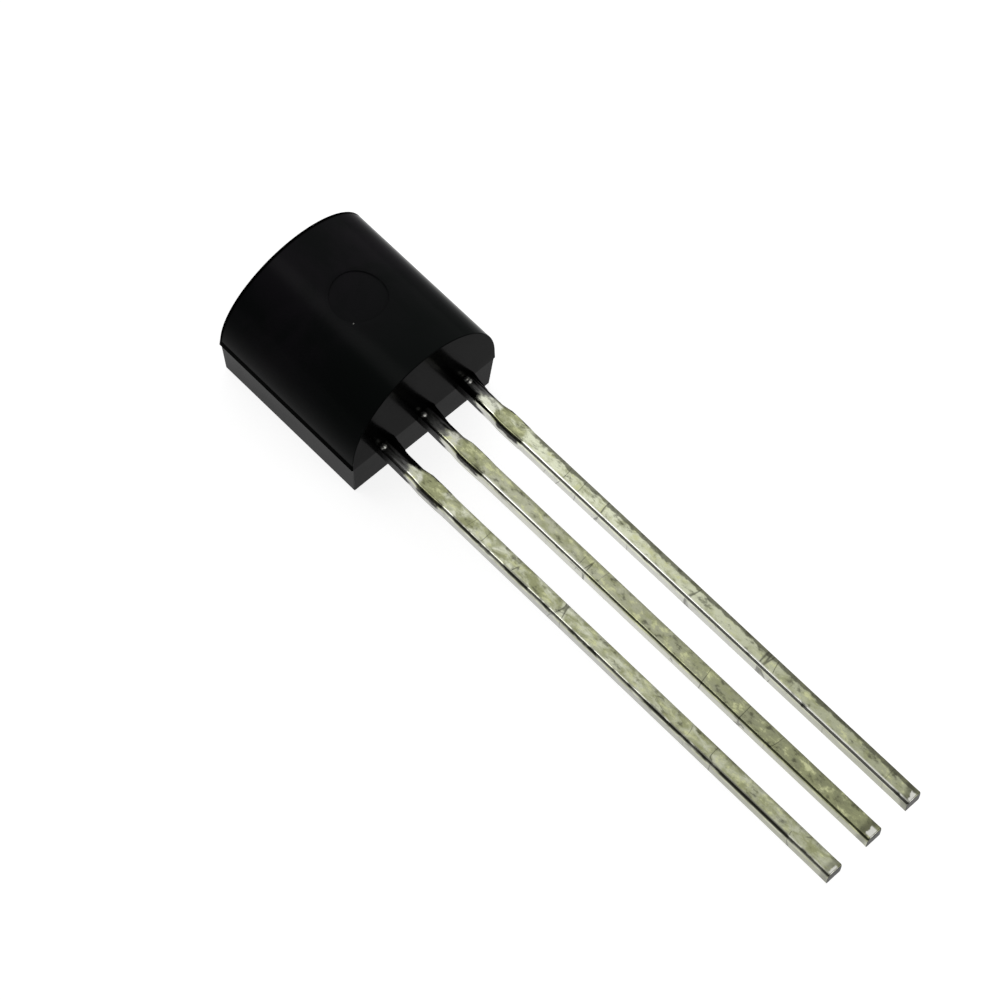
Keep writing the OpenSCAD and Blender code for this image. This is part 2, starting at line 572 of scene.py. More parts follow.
def new_group(name: str, inputs: dict[str, Optional[float]],
              outputs: Sequence[str]) -> tuple[Shade, dict[str, Socket], bpy.types.Node]:
    """Starts a shader node group.

    Args:
        name: The group's name.
        inputs: Each input's name and default, None for a vector.
        outputs: Each output's name.

    Returns:
        The group's tree, its input sockets by name, and its output node.
    """
    tree = bpy.data.node_groups.new(name, "ShaderNodeTree")
    for label, default in inputs.items():
        kind = "NodeSocketVector" if default is None else "NodeSocketFloat"
        socket = tree.interface.new_socket(name=label, in_out="INPUT", socket_type=kind)
        if default is not None:
            socket.default_value = default
    for label in outputs:
        tree.interface.new_socket(name=label, in_out="OUTPUT", socket_type="NodeSocketFloat")
    start = tree.nodes.new("NodeGroupInput")
    end = tree.nodes.new("NodeGroupOutput")
    return Shade(tree), {s.name: s for s in start.outputs}, end


def new_material(name: str) -> tuple[bpy.types.Material, Shade, bpy.types.Node]:
    """Starts a material with one Principled shader.

    Args:
        name: The material's name.

    Returns:
        The material, its tree and its Principled node.
    """
    material = bpy.data.materials.new(name)
    material.use_nodes = True
    shader = material.node_tree.nodes["Principled BSDF"]
    return material, Shade(material.node_tree), shader


class Effects:
    """The node groups that the finishes share, each built once."""

    def __init__(self) -> None:
        """Builds the groups."""
        self.mottle = self._mottle()
        self.nicks = self._nicks()

    @staticmethod
    def _mottle() -> bpy.types.NodeTree:
        """Soft patches of two sizes and a fine grain.

        Returns:
            The group.
        """
        shade, given, end = new_group(
            "mottle",
            {"Vector": None, "Patch scale": 1.0, "Grain scale": 20.0, "Share": 0.5,
             "Softness": 0.1}, ["Patches", "Grain"])
        broad = shade.noise(given["Vector"], given["Patch scale"], detail=4.0, roughness=0.62,
                            distortion=0.5)
        low, high = (shade.math(way, given["Share"], given["Softness"])
                     for way in ("SUBTRACT", "ADD"))
        shade.fill(end, Patches=shade.ramp(broad, low, high),
                   Grain=shade.noise(given["Vector"], given["Grain scale"], roughness=0.6))
        return shade.tree

    @staticmethod
    def _nicks() -> bpy.types.NodeTree:
        """Thin broken lines, as handling leaves on soft plating.

        Returns:
            The group.
        """
        patch_scale, patch_edge = 0.63, 0.04
        shade, given, end = new_group(
            "nicks", {"Vector": None, "Scale": 1.0, "Width": 0.01, "Share": 0.5}, ["Lines"])
        field = shade.noise(given["Vector"], given["Scale"], detail=1.0, roughness=0.4)
        off = shade.math("ABSOLUTE", shade.math("SUBTRACT", field, 0.5))
        line = shade.ramp(off, 0.0, given["Width"], 1.0, 0.0)
        patch = shade.noise(given["Vector"], shade.product(given["Scale"], patch_scale))
        kept = shade.ramp(patch, given["Share"], shade.math("ADD", given["Share"], patch_edge))
        shade.fill(end, Lines=shade.product(line, kept))
        return shade.tree


# ---- Finishes -------------------------------------------------------------------------------


@dataclass(frozen=True)
class EpoxyFinish:
    """Black moulding epoxy: polished, with a brighter skin on the flat half."""

    dark: Rgb = (0.0058, 0.0074, 0.0068)
    light: Rgb = (0.0136, 0.0116, 0.0146)
    painted_shade_wall: Rgb = (0.0008, 0.0009, 0.0009)         # painted shade: the lead end and the flat half darker than the crown
    painted_dark_lines: Rgb = (0.0004, 0.0004, 0.0004)        # near-black, painted: dark reflection on the top-end rim, shade on the parting line
    dust: Rgb = (0.30, 0.30, 0.28)
    lightness: tuple[float, float] = (0.6, 0.2)  # how far the patches lighten it, and least
    painted_light_end: Stops = (-3.6, -0.4, 1.0, 0.1)    # painted light: the patches lighter along the body, most at its top end
    lead_end: Stops = (-0.016, -0.008)
    lower_half: Stops = (-0.02, 0.01)            # across the parting plane
    roughness: float = 0.12
    dark_lines_roughness: float = 0.6                 # added to it on the top-end rim and the parting line
    specular: float = 0.005
    crown_skin: float = 0.050
    flat_skin: float = 0.130
    skin_unevenness: tuple[float, float] = (0.16, 0.92)
    skin_roughness: float = 0.24
    skin_ior: float = 1.5
    rim_width_mm: float = 0.09
    rim_edge: tuple[float, float] = (0.6, 1.2)   # where the rim fades, in its widths
    parting_line_mm: float = 0.20
    parting_line_edge: float = 0.025
    parting_line_depth: float = 0.01             # how far in from the sides it starts
    patch_mm: float = 1.7
    patch_softness: float = 0.16
    grain_mm: float = 0.035
    grain_height: float = 0.0004 * MM
    mark_lip: float = -0.02                      # where the slope round the mark starts
    mark_slope_mm: float = 0.10
    mark_depth: float = 0.020 * MM
    speck: tuple[float, float, float] = (-1.86, -0.57, 0.022)     # place and size, in mm
    crown_from: Stops = (1.0, 1.1)               # height of the faces that dust lies on

    def make(self, effects: Effects, body: "MouldedBody") -> bpy.types.Material:
        """Makes the material.

        Args:
            effects: The shared node groups.
            body: The body that wears it, for the places of its rims and its parting line.

        Returns:
            The material.
        """
        material, shade, shader = new_material("epoxy")
        at = Places(shade)
        mottle = shade.group(effects.mottle, Vector=at.whole, Patch_scale=1 / self.patch_mm,
                             Grain_scale=1 / self.grain_mm, Share=0.5,
                             Softness=self.patch_softness)
        patches, grain = mottle.outputs["Patches"], mottle.outputs["Grain"]
        # painted light: the crown's patches lighter towards its top end
        lighter = shade.product(shade.scaled(patches, *self.lightness),
                                shade.ramp(at.x, *self.painted_light_end))
        colour = shade.blend(lighter, self.dark, self.light)
        end_slope = math.tan(math.radians(body.lead_draft))
        # painted shade: the lead end and the flat half take a darker colour than the crown
        painted_shade_wall = shade.highest(
            shade.ramp(shade.scaled(at.z, end_slope, at.x), *self.lead_end),
            shade.ramp(at.z, *self.lower_half, 1.0, 0.0))
        colour = shade.blend(painted_shade_wall, colour, self.painted_shade_wall)
        # painted reflection and shade: near-black on the top-end rim and along the parting line
        painted_dark_lines = shade.highest(self._far_rim(at, body), self._parting_line(at, body))
        colour = shade.blend(painted_dark_lines, colour, self.painted_dark_lines)
        colour = shade.blend(self._speck(at), colour, self.dust)
        skin = shade.product(shade.math("SUBTRACT", 1.0, painted_dark_lines),
                             shade.ramp(at.z, *self.lower_half, self.flat_skin, self.crown_skin),
                             shade.scaled(patches, *self.skin_unevenness))
        bump = shade.bump(self._mark_edge(at, body), self.mark_depth,
                          Normal=shade.bump(grain, self.grain_height))
        shade.fill(shader, Base_Color=colour, Coat_Weight=skin, Normal=bump,
                   Coat_Roughness=self.skin_roughness, Coat_IOR=self.skin_ior,
                   Roughness=shade.scaled(painted_dark_lines, self.dark_lines_roughness, self.roughness),
                   Specular_IOR_Level=self.specular)
        return material

    def _speck(self, at: Places) -> Socket:
        """Masks one speck of dust on the crown.

        Args:
            at: The body's coordinates.

        Returns:
            1 on the speck.
        """
        x, y, size = self.speck
        return at.shade.product(at.shade.ramp(at.off_axis(x, y), size / 2, size, 1.0, 0.0),
                                at.shade.ramp(at.z, *self.crown_from))

    def _mark_edge(self, at: Places, body: "MouldedBody") -> Socket:
        """Gives the crown's height, 0 to 1, where it rolls softly into the ejector's mark."""
        slope = moved((self.mark_lip, self.mark_slope_mm), body.ejector_radius / MM)
        return at.shade.ramp(at.off_axis(-body.height / 2 / MM, 0.0), *slope)

    def _far_rim(self, at: Places, body: "MouldedBody") -> Socket:
        """Masks the rim at the crown's top end, where a dark reflection is painted.

        Args:
            at: The body's coordinates.
            body: The body.

        Returns:
            1 on the rim.
        """
        slope = math.tan(math.radians(body.top_draft))
        fade = moved(tuple(share * self.rim_width_mm for share in self.rim_edge),
                     -body.height / MM)
        return at.shade.ramp(at.shade.scaled(at.z, -slope, at.x), *fade, 1.0, 0.0)

    def _parting_line(self, at: Places, body: "MouldedBody") -> Socket:
        """Masks the painted shade along both sides, just above the parting plane.

        Args:
            at: The body's coordinates.
            body: The body.

        Returns:
            1 on the line.
        """
        edge = (body.half_width - body.parting_step) / MM
        side = at.shade.ramp(at.shade.math("ABSOLUTE", at.y),
                             edge - self.parting_line_depth, edge)
        return at.shade.product(
            at.shade.band(at.z, 0.0, self.parting_line_mm, self.parting_line_edge), side)


class LeadPlaces(Places):
    """A lead's coordinates from its own centre line: x along it, y across it and z up."""

    stretch: Point = (0.7, 1.2, 1.2)             # of the patterns
    roughness: float = 0.6
    wobble_scale: float = 7.0

    def __init__(self, shade: Shade, lead: "Lead") -> None:
        """Adds the coordinates to a tree, and a noise round zero that makes edges ragged.

        Args:
            shade: The material's tree.
            lead: The lead.
        """
        super().__init__(shade, shift=(0, -lead.centre_y / MM, 0))
        self.lead = lead
        self.patterned = shade.place_mm(shift=(lead.pattern_shift_mm, 0, 0),
                                        stretch=self.stretch)
        self.wobble = self.uneven(self.wobble_scale)

    def pattern(self, scale: float, detail: float = 3.0) -> Socket:
        """Adds a noise of the lead's own.

        Args:
            scale: Its scale.
            detail: Its number of octaves.

        Returns:
            Its value, 0 to 1.
        """
        return self.shade.noise(self.patterned, scale, detail, self.roughness)

    def uneven(self, scale: float, detail: float = 2.0) -> Socket:
        """Adds a noise of the lead's own that lies round zero."""
        return self.shade.math("SUBTRACT", self.pattern(scale, detail), 0.5)

    def ragged(self, value: Socket, amount: float) -> Socket:
        """Shifts a value by the wobble, so that a mask made from it has a ragged edge."""
        return self.shade.scaled(self.wobble, amount, value)


@dataclass(frozen=True)
class TinnedFinish:
    """Hot tinned lead frame: pale tin, olive tarnish, nicks, epoxy bleed and painted shade at the
    root.

    Ramps run over millimetres along the lead, across it or up it, or over a noise's value.
    """

    # pale tin, also used for the painted highlights on the -Y edge and near the tip
    pale: Rgb = (0.84, 0.84, 0.78)
    tarnish: Rgb = (0.35, 0.365, 0.20)
    dulled: Rgb = (0.235, 0.245, 0.140)
    # stains, nicks and flecks, and also the painted shade before the tip and along the stub
    stain_and_shade: Rgb = (0.05, 0.05, 0.035)
    sheared: Rgb = (0.035, 0.034, 0.028)
    # black at the root: epoxy bleed, and the body's painted shade and reflection
    resin_and_shade: Rgb = (0.004, 0.004, 0.004)
    smeared: Rgb = (0.30, 0.30, 0.29)
    bloom: Rgb = (0.68, 0.70, 0.40)
    roughness: float = 0.11
    tarnish_roughness: float = 0.08              # these three are added to it
    sheared_roughness: float = 0.35
    resin_and_shade_roughness: float = 0.30
    patch_mm: float = 0.28
    patch_softness: float = 0.18
    grain_mm: float = 0.05
    grain_height: float = 0.0003 * MM
    zone_scale: float = 1.8                      # of the noise that makes the zones ragged
    zone_detail: float = 3.0
    zone_raggedness: float = 0.9
    neck_zone: tuple[float, float] = (0.5, 0.15)         # its start and soft edge
    neck_before_stub: float = 0.2
    neck_paleness: float = 0.45
    neck_share: float = 0.06                     # added to the share of bright tin
    stub_zone: tuple[float, float] = (0.5, 0.25)         # its length and soft edge
    stub_share: float = -0.20
    dulling_run: Stops = (3.0, 14.0)
    side_dulling: Stops = (7.0, 14.5, 0.0, 0.55)
    side_below: Stops = (0.02, 0.12, 0.9, 0.0)
    cloud: tuple[float, float, float] = (4.2, 4.0, 0.65)          # scale, detail, roughness
    bloom_over: Stops = (0.52, 0.68, 0.0, 0.85)
    stain_under: Stops = (0.48, 0.30, 0.0, 0.70)
    nick_turn: float = 12.0                      # how far the nicks slant, in degrees
    nick_stretch: Point = (1.0, 0.22, 0.22)
    nick_scale: float = 2.2
    nick_width: float = 0.014
    nick_share: float = 0.55
    nicks_from: Stops = (1.4, 2.2, 0.0, 0.75)
    near_edge: Stops = (-0.16, -0.12, 1.0, 0.0)  # the -Y upper edge
    near_edge_up: Stops = (0.10, 0.14)
    past_stub: Stops = (2.0, 2.3)
    highlight_fade: Stops = (0.0, 0.5, 1.0, 0.0)
    edge_patch_scale: float = 1.5
    edge_patch: Stops = (0.0, 0.07, 0.0, 0.85)
    # painted shade: the -Y upper edge darkened along the stub, where no highlight shows
    stub_edge_shade: tuple[float, float, float] = (1.3, 2.1, 0.1)
    edge_patch_rise: Stops = (1.6, 2.2, 0.35, 1.0)
    tip_raggedness: float = 0.12
    tip_shade: tuple[float, float] = (0.11, 0.12)         # painted shade before the tip's highlight: its length and soft edge
    tip_shade_strength: float = 0.5
    tip_highlight_edge: float = 0.04
    tip_highlight_across: tuple[float, float, float] = (-0.11, 0.07, 0.05)
    tip_highlight_paleness: float = 0.85
    far_edge: float = 0.155                      # where the +Y upper edge's darker band starts
    far_edge_spread: float = 0.05                # how much further in, where much stained
    far_edge_fade: Stops = (-0.02, 0.03)
    far_edge_strength: tuple[float, float] = (0.22, 0.54)         # least, and added where darkest
    far_edge_raggedness: float = 0.18
    far_edge_from: Stops = (1.9, 2.3)
    neck_edge: Stops = (0.10, 0.145, 0.0, 0.85)
    neck_edge_raggedness: float = 0.06
    neck_edge_until: Stops = (1.15, 1.45, 1.0, 0.0)
    shear_trim: tuple[float, float] = (0.06, 0.08)       # short of the stub, and soft edge
    shear_side: Stops = (-0.045, -0.015)         # from the stub's side
    shear_side_raggedness: float = 0.12
    shear_up: Stops = (-0.05, 0.03)
    shear_up_raggedness: float = 0.15
    cut_tip: Stops = (-0.012, -0.004)            # from the tip
    resin_and_shade_left: Stops = (0.0, 0.12)              # across, where the black at the root reaches further
    resin_and_shade_left_more: float = 0.18
    resin_and_shade_side: Stops = (-0.20, -0.16)           # the -Y side
    resin_and_shade_side_reach: float = 0.54
    resin_and_shade_under: Stops = (-0.08, 0.02, 0.22, 0.0)
    resin_and_shade_raggedness: float = 0.5
    resin_and_shade_edge: Stops = (-0.10, 0.12, 1.0, 0.0)
    fin_side: Stops = (0.190, 0.200)
    fin_until: Stops = (0.75, 0.80, 1.0, 0.0)
    smear_shift: float = 0.3
    smear_stretch: Point = (1, 5, 5)
    smear_noise: tuple[float, float, float] = (2.2, 3.0, 0.6)     # scale, detail, roughness
    smear_over: Stops = (0.26, 0.58)
    smear_edge: float = 0.05
    smear_fade: Stops = (-0.60, 0.0, 0.40, 1.0)
    smear_up: Stops = (0.14, 0.18)
    bead_mm: float = 0.105
    bead_height: float = 0.05 * MM
    bead_up: Stops = (0.10, 0.15)
    bead_edge: Stops = (0.05, 0.4)

    def make(self, effects: Effects, name: str, lead: "Lead") -> bpy.types.Material:
        """Makes the material for one lead.

        Args:
            effects: The shared node groups.
            name: The material's name.
            lead: The lead that wears it, for the places of its marks.

        Returns:
            The material.
        """
        material, shade, shader = new_material(name)
        at = LeadPlaces(shade, lead)
        colour, patches, grain = self._plating(at, effects)
        colour = shade.blend(self._nicked(at, effects), colour, self.stain_and_shade)
        colour = self._tip_marks(at, self._near_edge(at, colour))
        colour = shade.blend(self._far_edge_darkening(at), colour, self.stain_and_shade)
        cut_face = self._sheared(at)
        colour = shade.blend(cut_face, colour, self.sheared)
        # black at the root: epoxy bleed with painted shade and reflection
        resin_and_shade, smear = self._resin_and_shade(at)
        colour = shade.blend(resin_and_shade, colour, shade.blend(smear, self.resin_and_shade, self.smeared))
        beads = self._beads(at)
        colour = shade.blend(shade.ramp(beads, *self.bead_edge), colour, self.pale)
        rough = self.roughness
        for mask, added in ((patches, self.tarnish_roughness), (cut_face, self.sheared_roughness),
                            (resin_and_shade, self.resin_and_shade_roughness)):
            rough = shade.scaled(mask, added, rough)
        bump = shade.bump(beads, self.bead_height, Normal=shade.bump(grain, self.grain_height))
        shade.fill(shader, Base_Color=colour, Roughness=rough, Normal=bump, Metallic=1.0)
        return material

    def _plating(self, at: LeadPlaces, effects: Effects) -> tuple[Socket, Socket, Socket]:
        """Gives the tin's colour before its marks, and the patches and grain that it has.

        Args:
            at: The lead's coordinates.
            effects: The shared node groups.

        Returns:
            The colour, the mask of the patches and the height of the grain.
        """
        shade, lead = at.shade, at.lead
        stub_start = lead.stub_start / MM
        ragged = shade.scaled(at.uneven(self.zone_scale, self.zone_detail),
                              self.zone_raggedness, at.x)
        start, edge = self.neck_zone
        neck = shade.band(ragged, start, stub_start - self.neck_before_stub, edge)
        length, edge = self.stub_zone
        stub = shade.band(ragged, stub_start, stub_start + length, edge)
        share = shade.scaled(stub, self.stub_share,
                             shade.scaled(neck, self.neck_share, lead.bright_share))
        mottle = shade.group(effects.mottle, Vector=at.patterned, Patch_scale=1 / self.patch_mm,
                             Grain_scale=1 / self.grain_mm, Share=share,
                             Softness=self.patch_softness)
        patches, grain = mottle.outputs["Patches"], mottle.outputs["Grain"]
        tin = shade.blend(shade.product(neck, self.neck_paleness), lead.tin, self.pale)
        tin = shade.blend(shade.ramp(at.x, *self.dulling_run, 0.0, lead.dulling), tin,
                          self.dulled)
        colour = shade.blend(patches, tin, self.tarnish)
        cloud = shade.noise(at.patterned, *self.cloud)
        colour = shade.blend(shade.ramp(cloud, *self.bloom_over), colour, self.bloom)
        colour = shade.blend(shade.ramp(cloud, *self.stain_under), colour, self.stain_and_shade)
        side_tin = shade.blend(shade.ramp(at.x, *self.side_dulling), lead.side_tin, self.dulled)
        colour = shade.blend(shade.ramp(at.z, *self.side_below), colour, side_tin)
        return colour, patches, grain

    def _nicked(self, at: LeadPlaces, effects: Effects) -> Socket:
        """Masks the nicks across the lead.

        Args:
            at: The lead's coordinates.
            effects: The shared node groups.

        Returns:
            Their strength, 0 to 1.
        """
        crossing = at.shade.place_mm(turn=(0, 0, self.nick_turn), stretch=self.nick_stretch,
                                     shift=(at.lead.pattern_shift_mm, 0, 0))
        nicks = at.shade.group(effects.nicks, Vector=crossing, Scale=self.nick_scale,
                               Width=self.nick_width, Share=self.nick_share)
        return at.shade.product(nicks.outputs[0], at.shade.ramp(at.x, *self.nicks_from))

    def _sheared(self, at: LeadPlaces) -> Socket:
        """Masks the two faces where the dam bar was sheared off, and the cut tip.

        Args:
            at: The lead's coordinates.

        Returns:
            1 on the sheared faces.
        """
        shade, lead = at.shade, at.lead
        start = lead.stub_start / MM
        trim, edge = self.shear_trim
        on_stub = shade.band(at.x, start, start + lead.stub_length / MM - trim, edge)
        off = at.ragged(shade.math("ABSOLUTE", at.y), self.shear_side_raggedness)
        on_side = shade.ramp(off, *moved(self.shear_side, lead.stub_width / 2 / MM))
        upper = shade.ramp(at.ragged(at.z, self.shear_up_raggedness), *self.shear_up)
        return shade.highest(shade.product(on_stub, on_side, upper),
                             shade.ramp(at.x, *moved(self.cut_tip, lead.tip / MM)))

    def _near_edge(self, at: LeadPlaces, colour: Socket) -> Socket:
        """Paints the -Y upper edge: a highlight, shade along the stub, and darker patches.

        Args:
            at: The lead's coordinates.
            colour: The colour so far.

        Returns:
            The colour with the edge's marks.
        """
        shade, lead = at.shade, at.lead
        edge = shade.product(shade.ramp(at.y, *self.near_edge),
                             shade.ramp(at.z, *self.near_edge_up))
        highlit = shade.product(shade.ramp(at.x, *self.past_stub),
                               shade.ramp(at.x, *moved(self.highlight_fade, lead.highlight_until)))
        # painted highlight: paler tin where the lamp's highlight runs along the -Y upper edge
        colour = shade.blend(shade.product(edge, highlit, lead.edge_highlight), colour, self.pale)
        patch = shade.ramp(at.pattern(self.edge_patch_scale),
                           *moved(self.edge_patch, lead.edge_clean))
        # painted shade all along the stub; ragged darker patches past it
        patch = shade.highest(shade.product(patch, shade.ramp(at.x, *self.past_stub)),
                              shade.band(at.x, *self.stub_edge_shade))
        return shade.blend(
            shade.product(patch, shade.ramp(at.x, *self.edge_patch_rise), edge), colour,
            self.stain_and_shade)

    def _tip_marks(self, at: LeadPlaces, colour: Socket) -> Socket:
        """Adds the painted highlight near the tip and the painted shade before it.

        Args:
            at: The lead's coordinates.
            colour: The colour so far.

        Returns:
            The colour with the marks.
        """
        shade, lead = at.shade, at.lead
        start, end = (lead.tip / MM - off for off in lead.tip_highlight_mm)
        place = shade.scaled(at.y, lead.tip_slant, at.ragged(at.x, self.tip_raggedness))
        # painted shade: a dark band before the highlight
        length, edge = self.tip_shade
        tip_painted_shade = shade.product(shade.band(place, start - length, start, edge), self.tip_shade_strength)
        colour = shade.blend(tip_painted_shade, colour, self.stain_and_shade)
        # painted highlight: a pale band near the tip
        tip_highlight = shade.product(shade.band(place, start, end, self.tip_highlight_edge),
                             shade.band(at.y, *self.tip_highlight_across), self.tip_highlight_paleness)
        return shade.blend(tip_highlight, colour, self.pale)

    def _far_edge_darkening(self, at: LeadPlaces) -> Socket:
        """Masks a darker band along the +Y upper edge, darkest on the neck.

        Args:
            at: The lead's coordinates.

        Returns:
            The stains' strength.
        """
        shade, darkened = at.shade, at.lead.far_edge_darkness
        inner = self.far_edge - darkened * self.far_edge_spread
        least, added = self.far_edge_strength
        edge = shade.ramp(at.ragged(at.y, self.far_edge_raggedness),
                          *moved(self.far_edge_fade, inner), 0.0, least + added * darkened)
        neck = shade.ramp(at.ragged(at.y, self.neck_edge_raggedness), *self.neck_edge)
        return shade.highest(shade.product(edge, shade.ramp(at.x, *self.far_edge_from)),
                             shade.product(neck, shade.ramp(at.x, *self.neck_edge_until)))

    def _resin_and_shade(self, at: LeadPlaces) -> tuple[Socket, Socket]:
        """Masks the root's black, bled epoxy and painted shade, and where it is only smeared thin.

        Args:
            at: The lead's coordinates.

        Returns:
            The two masks.
        """
        shade, lead = at.shade, at.lead
        past = self._past_resin_and_shade(at)
        fin = shade.product(shade.ramp(at.y, *self.fin_side), shade.ramp(at.x, *self.fin_until))
        drawn = shade.place_mm(shift=(self.smear_shift * lead.pattern_shift_mm, 0, 0),
                               stretch=self.smear_stretch)
        smear = shade.product(
            shade.ramp(shade.noise(drawn, *self.smear_noise), *self.smear_over),
            shade.band(at.y, *lead.smear_mm, self.smear_edge),
            shade.ramp(past, *self.smear_fade), shade.ramp(at.z, *self.smear_up))
        return shade.highest(shade.ramp(past, *self.resin_and_shade_edge), fin), smear

    def _past_resin_and_shade(self, at: LeadPlaces) -> Socket:
        """Gives how far past the black at the root, bled epoxy and painted shade, a place lies.

        The black reaches further along the lead's edges and its underside.

        Args:
            at: The lead's coordinates.

        Returns:
            The distance in millimetres, negative on the black.
        """
        shade, reach = at.shade, at.lead.resin_and_shade_reach
        left = shade.ramp(at.y, *self.resin_and_shade_left, reach, reach + self.resin_and_shade_left_more)
        side = shade.ramp(at.y, *self.resin_and_shade_side, self.resin_and_shade_side_reach, 0.0)
        under = shade.product(shade.ramp(at.z, *self.resin_and_shade_under),
                              shade.ramp(at.y, *self.resin_and_shade_side, 1.0, 0.0))
        reach = shade.math("ADD", shade.highest(left, side), under)
        return at.ragged(shade.math("SUBTRACT", at.x, reach), self.resin_and_shade_raggedness)

    def _beads(self, at: LeadPlaces) -> Socket:
        """Gives the height, 0 to 1, of the small tin beads on the root's upper face.

        Args:
            at: The lead's coordinates.

        Returns:
            The height.
        """
        height = at.shade.highest(*(
            at.shade.ramp(at.off_axis(x, y), 0.0, self.bead_mm, 1.0, 0.0)
            for x, y in at.lead.beads_mm))
        return at.shade.product(height, at.shade.ramp(at.z, *self.bead_up))


@dataclass(frozen=True)
class PlainFinish:
    """A finish for a sealed inner piece: one colour with a fine grain."""

    name: str
    colour: Rgb
    second: Rgb
    metallic: float
    roughness: float
    patch_mm: float
    grain_height: float
    grains_per_patch: float = 8
    softness: float = 0.15
    grain_roughness: float = 0.1                 # added where the grain is high

    def make(self, effects: Effects) -> bpy.types.Material:
        """Makes the material.

        Args:
            effects: The shared node groups.

        Returns:
            The material.
        """
        material, shade, shader = new_material(self.name)
        mottle = shade.group(effects.mottle, Vector=shade.place_mm(),
                             Patch_scale=1 / self.patch_mm,
                             Grain_scale=self.grains_per_patch / self.patch_mm, Share=0.5,
                             Softness=self.softness)
        patches, grain = mottle.outputs["Patches"], mottle.outputs["Grain"]
        shade.fill(shader, Base_Color=shade.blend(patches, self.colour, self.second),
                   Roughness=shade.scaled(grain, self.grain_roughness, self.roughness),
                   Normal=shade.bump(grain, self.grain_height), Metallic=self.metallic)
        return material


SILICON = PlainFinish("silicon", (0.22, 0.23, 0.27), (0.17, 0.18, 0.23), 0.0, 0.12, 0.10,
                      0.0002 * MM)
SOLDER = PlainFinish("solder", (0.50, 0.51, 0.53), (0.40, 0.41, 0.43), 1.0, 0.35, 0.06,
                     0.0010 * MM)
GOLD_WIRE = PlainFinish("gold_wire", (0.92, 0.70, 0.28), (0.86, 0.62, 0.22), 1.0, 0.18, 0.04,
                        0.0002 * MM)


# ---- Leads ----------------------------------------------------------------------------------


class InnerEnd(Enum):
    """What a lead carries inside the body."""

    BOND_POST = "bond post"
    DIE_PADDLE = "die paddle"


